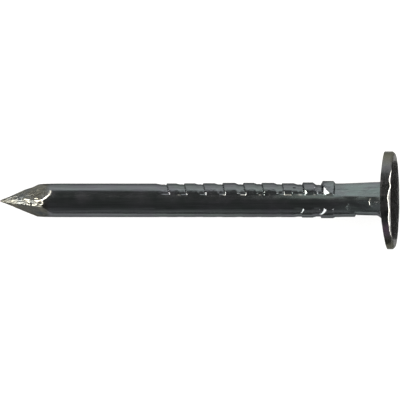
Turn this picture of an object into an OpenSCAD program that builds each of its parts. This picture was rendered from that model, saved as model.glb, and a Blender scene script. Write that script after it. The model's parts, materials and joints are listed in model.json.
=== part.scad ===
// Clout nail with a large flat head, a serrated shank and a diamond point,
// cold-formed from one length of round zinc-coated steel wire.
//
// Frame, in millimetres: the nail lies loose on a flat surface at Z = 0, along X,
// with its point towards -X and its head towards +X. It rests on the head's rim
// and on the shoulder of the point's lowest ridge, so its axis climbs a few
// degrees towards the head. The origin is under the middle of its box.
// The two gripping dies close along Y, so their parting lines face up and down.
// Depths are measured from the head's underside towards the point, the way the
// nail goes into timber.

/* [Nail] */
// Overall length, from the tip to the struck face
nail_l = 40; // [38:0.5:80]
// Diameter of the wire with its zinc coat
wire_d = 3.4; // [3:0.05:4]

/* [Head] */
// Diameter of the head
head_d = 9.9; // [8.5:0.1:12]
// Thickness of the head
head_t = 0.9; // [0.7:0.05:1.5]
// Radius that runs round both edges of the rim
rim_round = 0.2; // [0.05:0.05:0.3]
// How far the cone under the head runs down the neck
seat_cone_l = 0.6; // [0.3:0.05:1]
// How far the same cone spreads under the head, beyond the wire
seat_cone_w = 0.3; // [0.1:0.05:0.5]

/* [Neck] */
// Depth at which the cut between the head and the neck lies
head_cut = 1.6; // [1.5:0.1:2]
// Depth at which the neck ends and the first tooth mark begins
neck_end = 5.1; // [4.6:0.1:5.4]
// How far the neck is pinched sideways, at the head
neck_shift = 0.15; // [0:0.01:0.2]
// Diameter of the neck
neck_d = 3.3; // [2.9:0.05:3.35]
// Depth at which the wire's full round ends on the pinched side
heel_depth = 3.1; // [2.2:0.1:4]
// Length of the web that each parting line leaves under the head
web_l = 1.45; // [0.8:0.05:1.45]
// Width of each web
web_w = 1.2; // [0.6:0.05:1.4]
// Turn of each web from straight up or down, towards -Y
web_turn = 18; // [0:1:30]
// How far each web reaches up the underside, from the wire
web_rise = 0.8; // [0.4:0.05:1.2]

/* [Serrations] */
// Depth at which the tooth marks end and the plain wire begins
serration_end = 23.4; // [23.2:0.1:24]
// Width of one groove along the nail
groove_w = 0.8; // [0.6:0.05:0.9]
// Length of the slope on the point side of each groove
groove_slope = 0.35; // [0.1:0.05:0.4]
// Length of the wall on the head side of each groove, for each mm of its height
wall_run = 0.9; // [0.3:0.1:1.2]
// Diameter of the gripped wire, in the band that neither die touches
grip_d = 3.36; // [3.3:0.01:3.38]
// Share of the marks' depth that the lower die leaves
lower_share = 0.5; // [0.2:0.05:1]

/* [Point] */
// Length of the four flats, from the tip to their far ends
flats_l = 5.1; // [4.5:0.1:5.3]
// Length of the whole point, with the bare wire behind the flats
point_l = 5.6; // [5.5:0.1:6.5]
// How much the wire's round would narrow over the whole point
point_taper = 0.1; // [0.05:0.01:0.2]
// Width of the blunted tip
tip_w = 0.1; // [0.05:0.05:0.3]
// Turn of the point's ridges from the parting line
ridge_turn = -12; // [-45:1:45]

/* [Hidden] */
$fn = 96;

zinc = [0.46, 0.49, 0.49];
wire_r = wire_d / 2;
head_r = head_d / 2;
tip_depth = nail_l - head_t;
point_start = tip_depth - point_l;
flat_slope = atan((wire_r - tip_w / 2) / flats_l);
// Longer than any part of the nail, for the blocks that cut it
beyond = 3 * head_d;

// Each tooth mark is a groove and the land on its head side: the depth at the
// foot of the groove's wall, how deep the groove is and how far the land stands up.
marks = [
    [ 6.65, 0.13, 0.26],
    [ 8.55, 0.09, 0.11],
    [10.60, 0.07, 0.03],
    [12.65, 0.05, 0.07],
    [14.55, 0.08, 0.07],
    [16.60, 0.08, 0.07],
    [18.60, 0.08, 0.03],
    [20.50, 0.08, 0.02],
    [22.25, 0.10, 0.01],
];
// From the last groove's floor, the gripped wire widens to the plain wire
run_in = marks[len(marks) - 1][0] + groove_w - groove_slope;
// The upper die wraps further round the wire than the lower one
upper_edge = wire_r * sin(20);
lower_edge = -wire_r * sin(38);
heel_edge = -wire_r * sin(40);
// Length over which the first land rises from the neck
first_rise = 0.28;

// The lowest ridge of the point meets the wire's round at its shoulder
shoulder_l = (wire_r - point_taper - tip_w / sqrt(2))
    / (sqrt(2) * tan(flat_slope) - point_taper / point_l);
shoulder_depth = tip_depth - shoulder_l;
shoulder_r = (wire_r - point_taper * (1 - shoulder_l / point_l)) * cos(ridge_turn);
// The surface touches the rim's rounded edge, whose centre is at this radius
rim_centre_r = head_r - rim_round;
to_rim = [shoulder_depth + rim_round, rim_centre_r - shoulder_r];
climb = atan2(to_rim.y, to_rim.x) + asin(rim_round / norm(to_rim));
axis_z = shoulder_depth * sin(climb) + shoulder_r * cos(climb);
// Ends of the box, measured from the axis in the plane of the head's underside
head_end = (head_t - rim_round) * cos(climb) + rim_centre_r * sin(climb) + rim_round;
tip_end = tip_depth * cos(climb) + tip_w * sin(climb) / 2;
axis_x = (tip_end - head_end) / 2;

// Lays down a shape that is drawn with depth up +Z, and turns its own X upwards
module lying(depth = 0) {
    translate([axis_x, 0, axis_z])
        rotate([0, -90 - climb, 0])
            translate([0, 0, depth])
                children();
}

// The stretch of a shape that lies between two depths
module between(from, to) {
    intersection() {
        children();
        translate([-beyond / 2, -beyond / 2, from])
            cube([beyond, beyond, to - from]);
    }
}

module round_wire(from, to) {
    translate([0, 0, from])
        cylinder(r = wire_r, h = to - from);
}

// A quarter of a circle as points, for a rounded edge in a profile
function quarter(centre, r, start, steps = 5) =
    [for (i = [0:steps]) centre + r * [cos(start + 90 * i / steps), sin(start + 90 * i / steps)]];

// The neck leans from the wire's axis to its full shift under the head
module leaning_neck() {
    lean = atan(neck_shift / neck_end);
    translate([0, neck_shift, 0])
        rotate([lean, 0, 0])
            translate([0, 0, -head_t])
                cylinder(d = neck_d, h = neck_end + 2 * head_t);
}

// A web fills the gap between the dies, where a parting line meets the head
module web(side) {
    rotate([0, 0, side])
        rotate([90, 0, 0])
            linear_extrude(height = web_w, center = true)
                polygon([
                    [wire_r / 2, -head_t / 2],
                    [wire_r + web_rise, -head_t / 2],
                    [wire_r + web_rise, 0],
                    [wire_r - 0.1, web_l],
                    [wire_r / 2, web_l],
                ]);
}

module head() {
    disc = concat(
        [[0, -head_t]],
        quarter([head_r - rim_round, rim_round - head_t], rim_round, 270),
        quarter([head_r - rim_round, -rim_round], rim_round, 0),
        [[wire_r + seat_cone_w, 0], [wire_r - 0.12, seat_cone_l], [0, seat_cone_l]]
    );
    color(zinc)
        lying() {
            rotate_extrude() polygon(disc);
            between(-head_t / 2, head_cut) leaning_neck();
            for (side = [-web_turn, 180 + web_turn]) web(side);
        }
}

// On the pinched side the wire's full round runs on into the neck and ends in a heel
module heel() {
    intersection() {
        round_wire(heel_depth, neck_end);
        translate([-beyond / 2, heel_edge - beyond, 0])
            cube(beyond);
    }
}

module neck() {
    color(zinc)
        lying() {
            between(head_cut, neck_end) leaning_neck();
            heel();
        }
}

// One die's work on the wire, as a profile of radius and depth: for each mark,
// the end of its land, the groove's wall and floor, and the slope to the next land
function die_profile(share) = concat(
    [[0, neck_end], [wire_r, neck_end], [wire_r + share * marks[0][2], neck_end + first_rise]],
    [for (i = [0:len(marks) - 1])
        let (
            last = i == len(marks) - 1,
            foot = marks[i][0],
            floor_r = wire_r - share * marks[i][1],
            land_r = wire_r + share * marks[i][2]
        )
        each [
            [land_r, foot - wall_run * (land_r - floor_r)],
            [floor_r, foot],
            [floor_r, foot + groove_w - groove_slope],
            last ? [wire_r, serration_end]
                : [wire_r + share * marks[i + 1][2], foot + groove_w],
        ]],
    [[0, serration_end]]
);

module die_mark(share) {
    rotate_extrude() polygon(die_profile(share));
}

module serrated_shank() {
    color(zinc)
        lying() {
            // the band that neither die touches
            intersection() {
                union() {
                    translate([0, 0, neck_end])
                        cylinder(d = grip_d, h = run_in - neck_end);
                    translate([0, 0, run_in])
                        cylinder(d1 = grip_d, d2 = wire_d, h = serration_end - run_in);
                }
                translate([-beyond / 2, lower_edge, 0])
                    cube([beyond, upper_edge - lower_edge, beyond]);
            }
            // the upper die's marks
            intersection() {
                die_mark(1);
                translate([-beyond / 2, upper_edge, 0])
                    cube([beyond, beyond, beyond]);
            }
            // the lower die's marks
            intersection() {
                die_mark(lower_share);
                translate([-beyond / 2, lower_edge - beyond, 0])
                    cube([beyond, beyond, beyond]);
            }
        }
}

module plain_shank() {
    color(zinc)
        lying() round_wire(serration_end, point_start);
}

// Four flats close in on the tip and leave arcs where they run out of the wire
module point() {
    color(zinc)
        lying(tip_depth)
            difference() {
                translate([0, 0, -point_l])
                    cylinder(r1 = wire_r, r2 = wire_r - point_taper, h = point_l);
                for (i = [0:3])
                    rotate([0, 0, ridge_turn + 45 + 90 * i])
                        translate([tip_w / 2, 0, 0])
                            rotate([0, -flat_slope, 0])
                                translate([0, -beyond / 2, -beyond / 2])
                                    cube(beyond);
            }
}

head();
neck();
serrated_shank();
plain_shank();
point();
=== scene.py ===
import json
import math

import bmesh
import bpy
from mathutils import Matrix, Vector, noise


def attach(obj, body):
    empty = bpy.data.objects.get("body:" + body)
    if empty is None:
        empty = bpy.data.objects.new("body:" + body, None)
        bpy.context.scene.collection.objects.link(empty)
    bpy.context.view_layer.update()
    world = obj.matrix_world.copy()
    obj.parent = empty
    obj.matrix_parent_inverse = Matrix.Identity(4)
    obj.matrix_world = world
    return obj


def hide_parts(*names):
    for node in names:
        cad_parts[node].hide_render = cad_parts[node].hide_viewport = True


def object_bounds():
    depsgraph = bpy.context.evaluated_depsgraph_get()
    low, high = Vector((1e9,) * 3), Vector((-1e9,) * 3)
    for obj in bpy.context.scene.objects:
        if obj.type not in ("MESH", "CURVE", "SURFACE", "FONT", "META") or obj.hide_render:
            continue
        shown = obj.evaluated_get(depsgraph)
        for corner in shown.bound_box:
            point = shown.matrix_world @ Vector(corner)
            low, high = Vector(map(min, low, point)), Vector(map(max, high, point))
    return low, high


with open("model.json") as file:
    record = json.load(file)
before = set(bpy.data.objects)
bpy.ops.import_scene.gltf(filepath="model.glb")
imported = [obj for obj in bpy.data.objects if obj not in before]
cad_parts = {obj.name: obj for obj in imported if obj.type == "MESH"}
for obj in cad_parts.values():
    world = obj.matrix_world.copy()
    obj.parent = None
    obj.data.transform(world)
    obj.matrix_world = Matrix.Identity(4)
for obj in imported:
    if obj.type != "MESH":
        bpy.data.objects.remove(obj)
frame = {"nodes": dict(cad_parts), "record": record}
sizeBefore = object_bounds()
print("frame loaded")

# The nail's own directions and its zero depth, at the head's underside
mounts = {m["name"]: m for m in frame["record"]["mounts"]}
inward = Vector(mounts["shank"]["axis"]).normalized()
side = Vector((0, 1, 0))
upward = side.cross(inward)
struckCentre = Vector(mounts["struck_face"]["pos_m"])
headThick = (Vector(mounts["seat"]["pos_m"]) - struckCentre).dot(inward) * 1000
wireRadius = mounts["shank"]["dims"]["r_mm"]
seatCentre = struckCentre + inward * headThick / 1000
nailToRow = Matrix.Translation(seatCentre) @ Matrix(
    [[upward[i], side[i], inward[i], 0] for i in range(3)] + [[0, 0, 0, 1]]
) @ Matrix.Scale(0.001, 4)


def span(node):
    vertices = frame["nodes"][node].data.vertices
    depths = [(v.co - seatCentre).dot(inward) * 1000 for v in vertices]
    return min(depths), max(depths)


spans = {node: span(node) for node in frame["nodes"]}
tipDepth = spans["point"][1]


def smooth(low, high, value):
    t = min(max((value - low) / (high - low), 0), 1)
    return t * t * (3 - 2 * t)


def within(value, low, high, fade):
    return smooth(low - fade, low + fade, value) * smooth(high + fade, high - fade, value)


def mix(a, b, t):
    return a + (b - a) * t


def grain(x, y, z, seed):
    return noise.noise(Vector((x, y, z + 31.7 * seed)))


def turned(angle, centre):
    return (angle - centre + 180) % 360 - 180


# Neck, from the gripping dies' heel to the head
neckShape = {
    "topGrowth": 0.16,
    "bottomAtHeel": 1.49,
    "bottomAtHead": 1.57,
    "middle": 1.68,
    "pastHeel": 0.02,
    "heelDepth": 3.1,
    "heelFade": (0.04, 0.06),
    "notch": 0.05,
    "notchWidth": 0.08,
    # shares of the height at which the lower side ends and the upper side takes over
    "lowerEnds": 0.25,
    "upperTakesOver": (0.4, 0.9),
    # angle, distance from the axis and far end of the two flats that the dies leave
    "flats": [(43, 1.47, 7.2), (-27, 1.52, 5.0)],
    "flatReach": 1.2,
    "flatFade": 1.8,
    "flatRunOut": 0.4,
    "flatWaver": 0.03,
}


def neckRadius(depth, angle):
    n = neckShape
    far = spans["neck"][1]
    share = (1 + math.sin(math.radians(angle))) / 2
    blend = smooth(far, far - 1, depth)
    top = wireRadius + n["topGrowth"] * smooth(far, 0, depth)
    heelDepth = n["heelDepth"]
    heel = smooth(heelDepth - n["heelFade"][0], heelDepth + n["heelFade"][1], depth)
    pinched = mix(n["bottomAtHead"], n["bottomAtHeel"], depth / heelDepth)
    bottom = mix(pinched, wireRadius - n["pastHeel"], heel)
    bottom -= n["notch"] * math.exp(-(((depth - heelDepth) / n["notchWidth"]) ** 2))
    lower = mix(bottom, n["middle"], smooth(0, n["lowerEnds"], share))
    radius = mix(wireRadius, mix(lower, top, smooth(*n["upperTakesOver"], share)), blend)
    for facing, distance, end in n["flats"]:
        away = math.radians(turned(angle, facing))
        if abs(away) < n["flatReach"] and depth < end:
            runOut = n["flatRunOut"] * smooth(end - n["flatFade"], end, depth)
            flat = distance / math.cos(away) + runOut
            wide = grain(depth * 0.5, angle * 0.07, 0, 1)
            flat += n["flatWaver"] * (wide + 0.5 * grain(depth * 1.4, angle * 0.2, 0, 1))
            radius = min(radius, flat)
    return radius


# Tooth marks that the gripping dies leave on two sides of the wire
toothMarks = {
    # depth of the wall's foot, depth of the groove and height of the land before it
    "marks": [
        (6.65, 0.13, 0.26), (8.55, 0.09, 0.11), (10.60, 0.07, 0.03), (12.65, 0.05, 0.07),
        (14.55, 0.08, 0.07), (16.60, 0.08, 0.07), (18.60, 0.08, 0.03), (20.50, 0.08, 0.02),
        (22.25, 0.10, 0.01),
    ],
    "grooveWidth": 0.8,
    "slopeLength": 0.35,
    "wallRun": 0.55,
    "firstRise": 0.28,
    "footNotch": 0.06,
    "footRun": 0.13,
    "lowerShares": (0.4, 0.45, 0.1),
    # depth, angle, tilt toward the point and distance from the axis of the two big lands' facets
    "facets": [
        (6.02, 19, 15, 1.642), (8.2, 19, 15, 1.642), (5.95, -27, 22, 1.645), (8.1, -27, 22, 1.64),
    ],
    "facetReach": 1.15,
    "facetTurn": 0.5,
    "upperReach": (21, 160),
    "lowerReach": (-145, -29),
    "reachFade": 6,
    "skew": -0.0057,
    "waver": 0.05,
    "edgeWander": 30,
    "landGrain": 0.008,
    "band": 0.02,
    "bandRun": 1.2,
    "fadeIn": 0.15,
    "fadeOut": 0.3,
}


def diePoints(shares, notch):
    t = toothMarks
    begin, end = spans["neck"][1], spans["serrated_shank"][1]
    points = [(begin, 0), (begin + t["firstRise"], shares[0] * t["marks"][0][2])]
    for i, (foot, groove, land) in enumerate(t["marks"]):
        last = i == len(t["marks"]) - 1
        share = shares[min(i, len(shares) - 1)]
        nextShare = shares[min(i + 1, len(shares) - 1)]
        nextLand = 0 if last else nextShare * t["marks"][i + 1][2]
        slopeEnd = end if last else foot + t["grooveWidth"]
        points += [
            (foot - t["wallRun"] * (land + groove) * share, land * share),
            (foot, -(groove + notch) * share),
            (foot + t["footRun"], -groove * share),
            (foot + t["grooveWidth"] - t["slopeLength"], -groove * share),
            (slopeEnd, nextLand),
        ]
    return points


upperLine = diePoints((1,), toothMarks["footNotch"])
lowerLine = diePoints(toothMarks["lowerShares"], 0)


def dieHeight(line, depth):
    for (d0, h0), (d1, h1) in zip(line, line[1:]):
        if d0 <= depth <= d1:
            return mix(h0, h1, (depth - d0) / max(d1 - d0, 1e-6))
    return 0


def reach(angle, limits, fade):
    middle, half = (limits[0] + limits[1]) / 2, (limits[1] - limits[0]) / 2
    return smooth(half + fade / 2, half - fade / 2, abs(turned(angle, middle)))


def toothHeight(depth, angle):
    t = toothMarks
    begin, end = spans["neck"][1], spans["serrated_shank"][1]
    if not begin < depth < end:
        return 0
    edge = min(smooth(0, t["fadeIn"], depth - begin), smooth(0, t["fadeOut"], end - depth))
    wobble = t["waver"] * grain(depth * 0.9, angle * 0.03, 0, 2)
    upper = reach(angle + t["edgeWander"] * wobble, t["upperReach"], t["reachFade"])
    lower = reach(angle, t["lowerReach"], t["reachFade"])
    slanted = depth + t["skew"] * turned(angle, 90) + wobble
    height = upper * dieHeight(upperLine, slanted) + lower * dieHeight(lowerLine, depth + wobble)
    settled = smooth(0, t["bandRun"], depth - begin)
    height -= t["band"] * (1 - upper) * (1 - lower) * settled
    height += t["landGrain"] * upper * grain(depth * 5, angle * 0.12, 0, 3)
    return height * edge


def facetRadius(depth, angle):
    # the planes that the dies' worn corners leave, or no limit where there is none
    t = toothMarks
    radius = math.inf
    for start, facing, tilt, distance in t["facets"]:
        off, lean = depth - start, math.radians(tilt)
        away = math.radians(turned(angle, facing))
        near = abs(off) < t["facetReach"] and abs(away) < t["facetTurn"]
        if near and depth > spans["neck"][1]:
            plane = (distance - off * math.sin(lean)) / (math.cos(lean) * math.cos(away))
            radius = min(radius, max(plane, wireRadius - t["band"]))
    return radius


# Point: four flats that close in on the tip
pointShape = {
    "flatsLength": 5.25,
    "taper": 0.1,
    "tipRadius": 0.05,
    "turn": -12,
    "roundness": 0.038,
    "rough": 0.013,
    "frontBlunt": 1.18,
    "bluntReach": 31,
    "ragged": 0.052,
    "tipShift": 0.06,
    "tornEnds": (4.6, 3.4),
    "ridgeDrop": 0.05,
    "tipFade": 0.8,
    "rubbed": 0.1,
    "rubbedFrom": 2.9,
    "rubbedTo": 4.6,
    "rubbedFade": 0.5,
}


def pointCut(depth, angle):
    p = pointShape
    toTip = tipDepth - depth
    length = spans["point"][1] - spans["point"][0]
    body = wireRadius - p["taper"] * (1 - toTip / length)
    slope = (wireRadius - p["tipRadius"]) / p["flatsLength"]
    distance = p["tipRadius"] + slope * toTip
    fromFlat = (angle - p["turn"]) % 90 - 45
    sharpness = 1 / math.cos(math.radians(fromFlat))
    # the ridge that faces up is blunt and torn, and the others are sharp
    front = smooth(p["bluntReach"], p["bluntReach"] * 0.6, abs(turned(angle, p["turn"])))
    blunt = p["frontBlunt"] + 0.015 * (sharpness - p["frontBlunt"])
    sharpness = mix(sharpness, min(sharpness, blunt), front)
    flat = distance * sharpness
    ridge = (abs(fromFlat) / 45) ** 6
    closeness = smooth(0, p["tipFade"], toTip)
    flat -= p["ridgeDrop"] * closeness * ridge
    # the upper side ridge is rubbed off where it runs out
    atRidge = ridge * smooth(40, 10, abs(turned(angle, p["turn"] + 90)))
    flat -= p["rubbed"] * atRidge * within(toTip, p["rubbedFrom"], p["rubbedTo"], p["rubbedFade"])
    along = grain(depth * 2.2, angle * 0.05, 0, 4) + 0.3 * grain(depth * 5.5, angle * 0.11, 0, 5)
    torn = front * smooth(*p["tornEnds"], toTip) + 0.3 * ridge
    nicks = p["ragged"] * torn * grain(depth * 3.4, angle * 0.13, 0, 6)
    flat += closeness * (p["rough"] * along + nicks)
    return flat, body


def pointRadius(depth, angle):
    flat, body = pointCut(depth, angle)
    gap = flat - body
    w = pointShape["roundness"]
    return (flat + body) / 2 - math.sqrt(gap * gap + w * w) / 2


drawnHeight = 0.004


def drawnTexture(depth, angle):
    a = math.radians(angle)
    return drawnHeight * grain(9 * math.cos(a), 9 * math.sin(a), depth * 0.08, 7)


def wireSurface(depth, angle):
    if depth >= spans["point"][0]:
        radius = pointRadius(depth, angle)
    else:
        formed = neckRadius(depth, angle) + toothHeight(depth, angle)
        radius = min(formed, facetRadius(depth, angle))
    radius += drawnTexture(depth, angle) * smooth(0, 1, tipDepth - depth)
    a = math.radians(angle)
    shift = -pointShape["tipShift"] * smooth(spans["point"][0], tipDepth, depth)
    return Vector((radius * math.cos(a), radius * math.sin(a) + shift, depth))


# Head: struck face, rim, underside, under-head cone and the two webs
headShape = {
    "radius": 4.95,
    "rimRound": 0.14,
    "coneLength": 0.6,
    "coneWidth": 0.3,
    "coneRun": (3.3, 2.0),
    "webLength": 1.45,
    "webWidth": 1.2,
    "webAngle": -20,
    "webRise": 0.17,
    "webStep": 0.1,
    "webStepDepth": 1.7,
    "webStepRun": 0.2,
    "underLean": 0.13,
    "flare": 1.0,
    "flareLength": 0.95,
    "flareReach": 35,
    "flareFade": 20,
    "rimWaver": 0.02,
    "lowerThin": 0.02,
    "rimRagged": 0.025,
    "swell": 0.2,
    "swellReach": 42,
    "faceDish": 0.03,
    # angle, reach and depth of the uneven places along the struck edge's rounding
    "edgePlaces": [
        (38, 8, -0.2), (17, 5, -0.15), (3, 8, 0.08), (-12, 4, -0.05), (-22, 7, 0.05), (-50, 9, -0.14),
    ],
    "edgeDrop": 0.13,
    "edgeJitter": 0.035,
    "edgeRound": 0.15,
}


def webStart(offCentre):
    return headShape["webStepDepth"] - 0.0009 * (offCentre - 12) ** 2


def webLift(depth, angle):
    h = headShape
    reachAngle = math.degrees(h["webWidth"] / wireRadius) / 2
    lift = 0
    for centre in (h["webAngle"], h["webAngle"] + 180):
        # 0 at the web's sharp upper side and 1 at its soft lower side
        across = (reachAngle - turned(angle, centre)) / (2 * reachAngle)
        along = max(0, 1 - depth / h["webLength"])
        if 0 < across < 1:
            begin = webStart(turned(angle, centre))
            step = h["webStep"] * smooth(begin, begin - h["webStepRun"], depth)
            dome = smooth(0, 0.22, across) * (1 - across * across)
            lift = max(lift, (step + h["webRise"] * along) * dome)
    return lift


def footLift(depth, angle):
    h = headShape
    left = max(0, 1 - depth / h["coneLength"])
    flareLeft = max(0, 1 - depth / h["flareLength"])
    lowerSide = within(turned(angle, -90), -h["flareReach"], h["flareReach"], h["flareFade"])
    flare = h["flare"] * lowerSide * flareLeft**1.6
    return max(h["coneWidth"] * left**3, flare, webLift(depth, angle))


def headOutline():
    h = headShape
    corner = h["rimRound"]
    flat = h["radius"] - corner
    line = [(flat * i / 48, -headThick) for i in range(49)]
    for i in range(1, 13):
        a = math.radians(90 * i / 12)
        line.append((flat + corner * math.sin(a), -headThick + h["edgeRound"] * (1 - math.cos(a))))
    low = -headThick + h["edgeRound"]
    line += [(h["radius"], mix(low, 0, i / 15)) for i in range(1, 16)]
    inner = wireRadius + h["coneWidth"]
    line += [(mix(h["radius"], inner, i / 44), 0) for i in range(1, 45)]
    line += [(None, h["coneLength"] * i / 12) for i in range(1, 13)]
    end = spans["head"][1]
    line += [(None, mix(h["coneLength"], end, i / 24)) for i in range(1, 25)]
    return line


def headSurface(place, angle):
    h = headShape
    radius, depth = place
    a = math.radians(angle)
    if radius is None:
        base = wireSurface(depth, angle)
        grow = 1 + footLift(depth, angle) / wireRadius
        return Vector((base.x * grow, base.y * grow, depth))
    outer = h["radius"]
    edge = smooth(0.8, 1, radius / outer)
    waver = h["rimWaver"] * edge * (grain(2.2 * math.cos(a), 2.2 * math.sin(a), 0, 8) - 0.4)
    out = radius * (1 + min(0, waver) / outer)
    # the rim is thinner toward the lower side, and both of its edges are uneven
    thin = h["lowerThin"] * smooth(0.2, 1, -math.sin(a)) * edge
    ragged = h["rimRagged"] * edge * grain(7 * math.cos(a), 7 * math.sin(a), depth, 9)
    loss = thin * 0.5 + abs(ragged)
    face = smooth(-headThick * 0.35, -headThick, depth)
    height = depth + face * loss - (1 - face) * loss * edge
    rimPart = smooth(0.965, 0.98, radius / outer) * face
    height += rimPart * h["edgeDrop"]
    for middle, wide, deep in h["edgePlaces"]:
        height += rimPart * deep * math.exp(-((turned(angle, middle) / wide) ** 2))
    height += rimPart * h["edgeJitter"] * grain(angle * 0.16, 0, 0, 13)
    height = max(height, -headThick)
    swell = h["swell"] * edge * math.exp(-((turned(angle, 0) / h["swellReach"]) ** 2))
    height += swell * smooth(-headThick * 0.6, 0, depth)
    lean = h["underLean"] * math.sin(a) * smooth(0.4, 1, radius / outer)
    height += lean * smooth(-headThick * 0.8, 0, depth)
    dish = 0.5 + 0.5 * grain(out * math.cos(a) * 0.7, out * math.sin(a) * 0.7, 0, 10)
    height += face * h["faceDish"] * dish
    if depth == 0:
        # the underside runs into the cone and the webs without a step
        inner = wireSurface(0, angle) * (1 + footLift(0, angle) / wireRadius)
        share = (outer - radius) / (outer - wireRadius - h["coneWidth"])
        out = mix(outer * (1 + min(0, waver) / outer), math.hypot(inner.x, inner.y), share)
        height *= 1 - smooth(*h["coneRun"], radius)
    return Vector((out * math.cos(a), out * math.sin(a), height))


# Wear and painted light: bare is bright metal on a sharp edge, painted as highlights where glints show, and
# dull is the dies' rubbed, matt zinc, also lighter in colour as painted light on the neck and lands
wearAndGlintShape = {
    "burrWidth": 0.026,
    "burrFrom": -12,
    "burrTo": 37,
    "lineFrom": -47,
    "lineTo": 37,
    "lineMiddle": 0.35,
    "lineWidth": 0.2,
    "webWidth": 0.06,
    "neckEnd": 6.4,
    "landsEnd": 17,
    "landShare": 0.6,
    "landEdge": (19, 2.2),
}


def wireWearAndGlint(depth, angle):
    w = wearAndGlintShape
    if depth >= spans["point"][0]:
        flat, body = pointCut(depth, angle)
        # painted highlight: a bright arc where the point's flats meet the round wire
        arcGlint = within(turned(angle, 0), w["burrFrom"], w["burrTo"], 3)
        return arcGlint * math.exp(-(((flat - body) / w["burrWidth"]) ** 2)), 0
    off = turned(angle, 0)
    spots = 0.35 + 0.65 * smooth(-0.35, 0.35, grain(depth * 0.9, angle * 0.07, 0, 12))
    # rubbed zinc on the neck's lower front and along the lands; its lighter colour is partly painted light
    # there
    neckPart = (0.4 + 0.4 * smooth(5, 20, off)) * within(off, -50, 70, 12)
    neckPart *= smooth(w["neckEnd"], w["neckEnd"] - 3.5, depth)
    landPart = w["landShare"] * within(off, 4, 24, 5) * smooth(w["landsEnd"], 6, depth)
    # painted glints: small bright nicks along the upper lands' lower edge
    chipGlints = smooth(0.15, 0.4, grain(depth * 1.7, 0, 0, 14)) * within(depth, 5.6, 21, 0.4)
    nickGlint = 0.7 * chipGlints * math.exp(-(((off - w["landEdge"][0]) / w["landEdge"][1]) ** 2))
    return nickGlint, spots * max(neckPart, landPart)


def headWearAndGlint(place, angle):
    h, w = headShape, wearAndGlintShape
    radius, depth = place
    off = turned(angle, 0)
    if radius is None:
        # painted highlight: a thin bright curve at the web's front step
        webGlint = within(turned(angle, h["webAngle"]), 2, 27, 3)
        begin = webStart(turned(angle, h["webAngle"]))
        front = (begin - h["webStepRun"] * 0.45 - depth) / w["webWidth"]
        return webGlint * math.exp(-front * front), wireWearAndGlint(depth, angle)[1]
    along = (depth + headThick) / h["edgeRound"]
    if radius < h["radius"] - h["rimRound"] or along > 1.5:
        return 0, 0
    # painted highlight: the thin bright line along the struck edge's rounding
    line = math.exp(-(((along - w["lineMiddle"]) / w["lineWidth"]) ** 2))
    return line * within(off, w["lineFrom"], w["lineTo"], 4), 0


creaseAngle = math.radians(55)


def placed(name, bm):
    mesh = bpy.data.meshes.new(name)
    bm.to_mesh(mesh)
    bm.free()
    made = bpy.data.objects.new(name, mesh)
    bpy.context.scene.collection.objects.link(made)
    return made


def shell(name, rows, segments, surface, wearAndGlint):
    bm = bmesh.new()
    bare, dull = bm.verts.layers.float.new("bare"), bm.verts.layers.float.new("dull")
    bmesh.ops.create_grid(bm, x_segments=len(rows) - 1, y_segments=segments, size=0.5)
    for v in bm.verts:
        row = rows[round((v.co.x + 0.5) * (len(rows) - 1))]
        turn = round((v.co.y + 0.5) * segments) % segments
        v.co = surface(row, turn * 360 / segments)
        v[bare], v[dull] = wearAndGlint(row, turn * 360 / segments)
    bmesh.ops.remove_doubles(bm, verts=bm.verts, dist=1e-5)
    for face in bm.faces:
        face.smooth = True
    openEdges = [e for e in bm.edges if e.is_boundary]
    if openEdges:
        filled = bmesh.ops.holes_fill(bm, edges=openEdges, sides=0)
        for face in filled["faces"]:
            face.smooth = False
        for edge in openEdges:
            edge.smooth = False
    bmesh.ops.recalc_face_normals(bm, faces=bm.faces)
    for edge in bm.edges:
        if edge.is_manifold and edge.calc_face_angle() > creaseAngle:
            edge.smooth = False
    bm.transform(nailToRow)
    piece = placed(name, bm)
    print(name, len(piece.data.polygons), "faces")
    return piece


def evenRows(low, high, step):
    count = max(1, math.ceil((high - low) / step))
    return [mix(low, high, i / count) for i in range(count + 1)]


coarse = 1
wireSegments = 192 // coarse
capSegments = 256 // coarse
fineStep, plainStep, pointStep = 0.05 * coarse, 0.12, 0.04


def wireShell(name, node, step, segments):
    return shell(name, evenRows(*spans[node], step), segments, wireSurface, wireWearAndGlint)


pieces = {
    "head": shell("headForm", headOutline(), capSegments, headSurface, headWearAndGlint),
    "neck": wireShell("neckForm", "neck", fineStep, wireSegments),
    "serrated_shank": wireShell("serratedForm", "serrated_shank", fineStep, wireSegments),
    "plain_shank": wireShell("plainForm", "plain_shank", plainStep, wireSegments),
    "point": wireShell("pointForm", "point", pointStep, capSegments),
}
print("pieces built")


# Materials
def group(name, inputs, outputs):
    tree = bpy.data.node_groups.new(name, "ShaderNodeTree")
    for socket, kind, value in inputs:
        made = tree.interface.new_socket(socket, in_out="INPUT", socket_type=kind)
        if value is not None:
            made.default_value = value
    for socket, kind in outputs:
        tree.interface.new_socket(socket, in_out="OUTPUT", socket_type=kind)
    return tree, tree.nodes.new("NodeGroupInput"), tree.nodes.new("NodeGroupOutput")


def add(tree, kind, settings=(), **values):
    made = tree.nodes.new(kind)
    for key, value in dict(settings).items():
        setattr(made, key, value)
    for key, value in values.items():
        socket = made.inputs[int(key[1:])] if key[0] == "i" and key[1:].isdigit() else made.inputs[key]
        if isinstance(value, bpy.types.NodeSocket):
            tree.links.new(value, socket)
        else:
            socket.default_value = value
    return made


def maths(tree, operation, a, b=0.0):
    return add(tree, "ShaderNodeMath", {"operation": operation}, i0=a, i1=b).outputs[0]


def ramped(tree, value, low, high, first=0.0, last=1.0):
    return add(tree, "ShaderNodeMapRange", i0=value, i1=low, i2=high, i3=first, i4=last).outputs[0]


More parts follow.
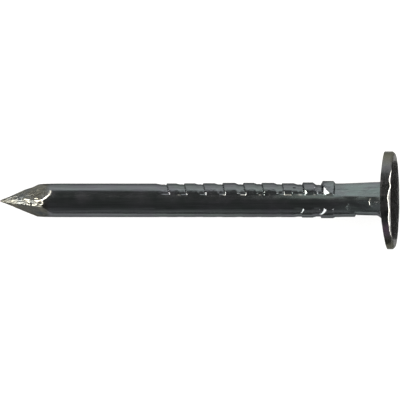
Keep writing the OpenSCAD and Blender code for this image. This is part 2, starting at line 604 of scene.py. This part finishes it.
def mixedColor(tree, share, a, b):
    return add(tree, "ShaderNodeMix", {"data_type": "RGBA"}, i0=share, i6=a, i7=b).outputs[2]


def mixedValue(tree, share, a, b):
    return add(tree, "ShaderNodeMix", i0=share, i2=a, i3=b).outputs[0]


def scaled(tree, color, shade):
    return add(tree, "ShaderNodeVectorMath", {"operation": "SCALE"}, i0=color, Scale=shade).outputs[0]


def nailPlace(tree):
    # millimetres along the nail's own up, side and inward directions
    coord = add(tree, "ShaderNodeTexCoord").outputs["Object"]
    moved = add(tree, "ShaderNodeVectorMath", {"operation": "SUBTRACT"}, i0=coord, i1=seatCentre)
    parts = [
        add(tree, "ShaderNodeVectorMath", {"operation": "DOT_PRODUCT"}, i0=moved.outputs[0], i1=axis * 1000)
        for axis in (upward, side, inward)
    ]
    values = {f"i{i}": part.outputs["Value"] for i, part in enumerate(parts)}
    return add(tree, "ShaderNodeCombineXYZ", **values).outputs[0]


def drawnLinesGroup():
    tree, source, sink = group(
        "drawnLines",
        [("Place", "NodeSocketVector", None), ("Density", "NodeSocketFloat", 6.0),
         ("Length", "NodeSocketFloat", 0.05)],
        [("Lines", "NodeSocketFloat")],
    )
    scale = add(tree, "ShaderNodeCombineXYZ", i0=1.0, i1=1.0, i2=source.outputs["Length"])
    pulled = add(tree, "ShaderNodeVectorMath", {"operation": "MULTIPLY"}, i0=source.outputs["Place"],
                 i1=scale.outputs[0])
    streak = add(tree, "ShaderNodeTexNoise", Vector=pulled.outputs[0], Scale=source.outputs["Density"],
                 Detail=4.0, Roughness=0.65)
    tree.links.new(streak.outputs["Fac"], sink.inputs[0])
    return tree


def zincMottleGroup():
    tree, source, sink = group(
        "zincMottle",
        [("Place", "NodeSocketVector", None), ("Scale", "NodeSocketFloat", 2.0),
         ("Base", "NodeSocketColor", None), ("Tint", "NodeSocketColor", None),
         ("Amount", "NodeSocketFloat", 0.5)],
        [("Color", "NodeSocketColor"), ("Patches", "NodeSocketFloat")],
    )
    patches = add(tree, "ShaderNodeTexNoise", Vector=source.outputs["Place"], Scale=source.outputs["Scale"],
                  Detail=5.0, Roughness=0.6)
    ramp = add(tree, "ShaderNodeValToRGB", Fac=patches.outputs["Fac"])
    ramp.color_ramp.elements[0].position = 0.35
    ramp.color_ramp.elements[1].position = 0.65
    share = maths(tree, "MULTIPLY", ramp.outputs["Color"], source.outputs["Amount"])
    blended = mixedColor(tree, share, source.outputs["Base"], source.outputs["Tint"])
    tree.links.new(blended, sink.inputs["Color"])
    tree.links.new(ramp.outputs["Color"], sink.inputs["Patches"])
    return tree


drawnLines = drawnLinesGroup()
zincMottle = zincMottleGroup()

finishes = {
    "head_zinc": {
        "base": (0.12, 0.128, 0.128, 1), "tint": (0.085, 0.075, 0.085, 1), "amount": 0.75, "patches": 1.3,
        "density": 2.6, "length": 1.0, "roughLow": 0.2, "roughHigh": 0.36, "bump": 0.5,
        "edge": 0.35, "join": (0.9, 0.1),
    },
    "shank_zinc": {
        "base": (0.132, 0.15, 0.146, 1), "tint": (0.125, 0.115, 0.14, 1), "amount": 0.6, "patches": 0.5,
        "density": 5.0, "length": 0.04, "roughLow": 0.14, "roughHigh": 0.23, "bump": 0.3,
        "edge": 0.3, "join": None,
    },
    "point_zinc": {
        "base": (0.12, 0.116, 0.096, 1), "tint": (0.06, 0.067, 0.073, 1), "amount": 0.9, "patches": 0.9,
        "density": 4.0, "length": 0.5, "roughLow": 0.16, "roughHigh": 0.28, "bump": 0.35,
        "edge": 0.3, "join": (33.9, 34.3),
    },
}
# painted shade on the struck face, lighter toward the ends
struckFaceShade = {"shade": 0.3, "endShade": 0.62, "from": -0.5, "to": -0.75, "radius": 4.84, "fade": 0.12}
# colour of the painted highlights, laid out as bright bare metal on edges
bareAndGlintFinish = {"color": (0.66, 0.65, 0.6, 1), "rough": 0.33}
# rubbed, matt zinc, lighter than the plain zinc as painted light on the neck and lands
rubbedAndLitFinish = {"color": (0.17, 0.215, 0.21, 1), "rough": 0.42}
# Olive ends of the head, lighter as a painted reflection of the floor, and painted shade where the rim is
# nearest the neck
headEndsReflection = {"color": (0.155, 0.155, 0.125, 1), "from": 3.4, "to": 4.5, "amount": 0.8}
# painted shade: the rim darker where it is nearest the neck
rimNeckShade = {"shade": 0.5, "from": 2.3, "to": 1.5, "neckRun": 0.2}
# Purple heat tint on the rim's lower side, up to the struck edge
heatTint = {
    "color": (0.14, 0.1, 0.135, 1), "from": -1.9, "to": -2.8, "end": -4.1,
    "radius": 4.7, "fade": 0.15, "depthFrom": -0.75, "depthTo": -0.6,
}
lineShade = {"low": 0.3, "high": 0.7, "dark": 0.75, "light": 1.2}
bumpDistance = 0.00003


def finishLayer(tree, place, f):
    lines = add(tree, "ShaderNodeGroup", {"node_tree": drawnLines}, Place=place, Density=f["density"],
                Length=f["length"]).outputs[0]
    mottle = add(tree, "ShaderNodeGroup", {"node_tree": zincMottle}, Place=place, Scale=f["patches"],
                 Base=f["base"], Tint=f["tint"], Amount=f["amount"])
    shade = ramped(tree, lines, *lineShade.values())
    coloured = scaled(tree, mottle.outputs["Color"], shade)
    rough = ramped(tree, mottle.outputs["Patches"], 0.0, 1.0, f["roughLow"], f["roughHigh"])
    fine = add(tree, "ShaderNodeTexNoise", Vector=place, Scale=9.0, Detail=3.0, Roughness=0.6)
    both = maths(tree, "ADD", lines, maths(tree, "MULTIPLY", fine.outputs["Fac"], 0.5))
    return coloured, rough, maths(tree, "MULTIPLY", both, f["bump"])


def headColor(tree, place, depth, color):
    tint, ends, neckShade, struck = heatTint, headEndsReflection, rimNeckShade, struckFaceShade
    sideways = add(tree, "ShaderNodeSeparateXYZ", i0=place).outputs["Y"]
    outward = maths(tree, "ABSOLUTE", sideways)
    flatPart = add(tree, "ShaderNodeVectorMath", {"operation": "MULTIPLY"}, i0=place, i1=(1.0, 1.0, 0.0))
    length = add(tree, "ShaderNodeVectorMath", {"operation": "LENGTH"}, i0=flatPart.outputs[0])
    radius = length.outputs["Value"]
    # purple tint
    begin = ramped(tree, sideways, tint["from"], tint["to"])
    end = ramped(tree, sideways, tint["end"], tint["to"])
    onRim = ramped(tree, radius, tint["radius"], tint["radius"] + tint["fade"])
    below = ramped(tree, depth, tint["depthFrom"], tint["depthTo"])
    onRim = maths(tree, "MULTIPLY", onRim, below)
    tinted = maths(tree, "MULTIPLY", maths(tree, "MULTIPLY", begin, end), onRim)
    color = mixedColor(tree, tinted, color, tint["color"])
    # olive ends, lighter as a painted reflection of the floor
    atEnds = ramped(tree, outward, ends["from"], ends["to"])
    color = mixedColor(tree, maths(tree, "MULTIPLY", atEnds, ends["amount"]), color, ends["color"])
    # painted shade on the rim beside the neck, where it reflects the nail's own neck
    neckShaded = ramped(tree, outward, neckShade["from"], neckShade["to"], 1.0, neckShade["shade"])
    onNeck = ramped(tree, depth, 0.0, neckShade["neckRun"])
    color = scaled(tree, color, mixedValue(tree, onNeck, neckShaded, 1.0))
    # painted shade on the struck face, standing in for the shadowed floor it reflects; less dark at the
    # ends
    shade = mixedValue(tree, atEnds, struck["shade"], struck["endShade"])
    face = ramped(tree, depth, struck["from"], struck["to"], 1.0, shade)
    inside = ramped(tree, radius, struck["radius"], struck["radius"] - struck["fade"])
    return scaled(tree, color, mixedValue(tree, inside, 1.0, face))


def zincMaterial(name, f):
    material = bpy.data.materials.new(name)
    material.use_nodes = True
    tree = material.node_tree
    shader = tree.nodes["Principled BSDF"]
    place = nailPlace(tree)
    color, rough, height = finishLayer(tree, place, f)
    depth = add(tree, "ShaderNodeSeparateXYZ", i0=place).outputs["Z"]
    if f["join"]:
        # the finish runs into the shank's without a line
        own = ramped(tree, depth, *f["join"])
        plain = finishLayer(tree, place, finishes["shank_zinc"])
        color = mixedColor(tree, own, plain[0], color)
        rough = mixedValue(tree, own, plain[1], rough)
        height = mixedValue(tree, own, plain[2], height)
    if name == "head_zinc":
        color = headColor(tree, place, depth, color)
    # rubbed zinc with painted light first, then the painted highlights on edges
    for layer, finish in (("dull", rubbedAndLitFinish), ("bare", bareAndGlintFinish)):
        share = add(tree, "ShaderNodeAttribute", {"attribute_name": layer}).outputs["Fac"]
        color = mixedColor(tree, share, color, finish["color"])
        rough = mixedValue(tree, share, rough, finish["rough"])
    tree.links.new(color, shader.inputs["Base Color"])
    tree.links.new(rough, shader.inputs["Roughness"])
    bump = add(tree, "ShaderNodeBump", Strength=1.0, Distance=bumpDistance, Height=height)
    tree.links.new(bump.outputs[0], shader.inputs["Normal"])
    shader.inputs["Metallic"].default_value = 1.0
    shader.inputs["Specular Tint"].default_value = (f["edge"],) * 3 + (1,)
    return material


materials = {name: zincMaterial(name, f) for name, f in finishes.items()}
slots = {row["node"]: row["material_slot"] for row in frame["record"]["subparts"]}
for node, piece in pieces.items():
    piece.data.materials.append(materials[slots[node]])
    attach(piece, "root")
    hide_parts(node)
print("materials made")

# Floor, world, lights and camera
stageShape = {
    "floorSize": 1.6,
    "floorGlow": 0.85,
    "floorShade": 0.12,
    "flagLift": 0.0001,
    "headFlag": (0.03, 0.0079),
    "headFlagGap": 0.0001,
    "frontFlag": (0.16, 0.16),
    "frontFlagGap": 0.008,
    "flagShade": 0.03,
    "skyDark": 0.13,
    "skyLow": 0.42,
    "skyHeights": (0.05, 0.62),
    "backdrop": 1.05,
    "lampDistance": 0.5,
    "viewWidth": 0.040323,
    "aim": (0.00002, 0.00003),
    "height": 0.4,
}


def makeFloor():
    bm = bmesh.new()
    bmesh.ops.create_grid(bm, x_segments=1, y_segments=1, size=stageShape["floorSize"] / 2)
    floor = placed("floor", bm)
    material = bpy.data.materials.new("floorPaper")
    material.use_nodes = True
    shader = material.node_tree.nodes["Principled BSDF"]
    shader.inputs["Base Color"].default_value = (stageShape["floorShade"],) * 3 + (1,)
    shader.inputs["Roughness"].default_value = 0.9
    shader.inputs["Emission Color"].default_value = (1, 1, 1, 1)
    shader.inputs["Emission Strength"].default_value = stageShape["floorGlow"]
    floor.data.materials.append(material)
    return floor


# direction, width, height, power and colour of each lamp
lamps = {
    "keyLeft": ((-1, 0.34, 0.76), 0.5, 0.26, 8.0, (1, 0.96, 0.88)),
    "keyFront": ((-1, -0.85, 0.4), 0.22, 0.2, 1.2, (1, 0.98, 0.95)),
    "rimRight": ((1, 0, 0.55), 1.0, 0.5, 10.0, (1, 0.98, 0.95)),
    "stripTop": ((0, 1, 0.15), 0.8, 0.17, 0.44, (0.97, 1, 0.99)),
}


def softLight(name, toward, width, height, power, color):
    data = bpy.data.lights.new(name, "AREA")
    data.shape = "RECTANGLE"
    data.size, data.size_y, data.energy, data.color = width, height, power, color
    lamp = bpy.data.objects.new(name, data)
    direction = Vector(toward).normalized()
    lamp.location = direction * stageShape["lampDistance"]
    lamp.rotation_euler = direction.to_track_quat("Z", "Y").to_euler()
    lamp.visible_camera = False
    bpy.context.scene.collection.objects.link(lamp)


def makeWorld():
    world = bpy.data.worlds.new("studio")
    world.use_nodes = True
    tree = world.node_tree
    seen = add(tree, "ShaderNodeLightPath").outputs["Is Camera Ray"]
    direction = add(tree, "ShaderNodeTexCoord").outputs["Generated"]
    height = add(tree, "ShaderNodeSeparateXYZ", i0=direction).outputs["Z"]
    sky = ramped(tree, height, *stageShape["skyHeights"], stageShape["skyLow"], stageShape["skyDark"])
    glow = mixedColor(tree, seen, sky, (stageShape["backdrop"],) * 3 + (1,))
    tree.links.new(glow, tree.nodes["Background"].inputs["Color"])
    bpy.context.scene.world = world


def makeFlag(name, size, x, y):
    # a dark card, like a studio flag, that the camera doesn't see and that casts no shadow; it darkens only
    # what the nail reflects
    bm = bmesh.new()
    bmesh.ops.create_grid(bm, x_segments=1, y_segments=1, size=0.5)
    bmesh.ops.scale(bm, verts=bm.verts, vec=(*size, 1))
    bmesh.ops.translate(bm, verts=bm.verts, vec=(x, y, stageShape["flagLift"]))
    flag = placed(name, bm)
    flag.visible_camera = False
    flag.visible_shadow = False
    material = bpy.data.materials.new(name + "Cloth")
    material.use_nodes = True
    shader = material.node_tree.nodes["Principled BSDF"]
    shader.inputs["Base Color"].default_value = (stageShape["flagShade"],) * 3 + (1,)
    flag.data.materials.append(material)
    return flag


headShadowCardX = sizeBefore[1].x + stageShape["headFlagGap"] + stageShape["headFlag"][0] / 2
frontFlagY = sizeBefore[0].y - stageShape["frontFlagGap"] - stageShape["frontFlag"][1] / 2
makeFloor()
# painted shadow: a dark card beside the head, standing in for the head's shadow on the floor in its
# reflections
makeFlag("headFlag", stageShape["headFlag"], headShadowCardX, 0)
# a dark card in front of the nail, seen only in reflections, darkening the floor that the nail's lower side
# reflects
makeFlag("frontFlag", stageShape["frontFlag"], 0, frontFlagY)
makeWorld()
for name, lamp in lamps.items():
    softLight(name, *lamp)

cameraData = bpy.data.cameras.new("camera")
cameraData.type = "ORTHO"
cameraData.ortho_scale = stageShape["viewWidth"]
camera = bpy.data.objects.new("camera", cameraData)
camera.location = (*stageShape["aim"], stageShape["height"])
bpy.context.scene.collection.objects.link(camera)
bpy.context.scene.camera = camera
bpy.context.scene.view_settings.view_transform = "Standard"
print("stage set")
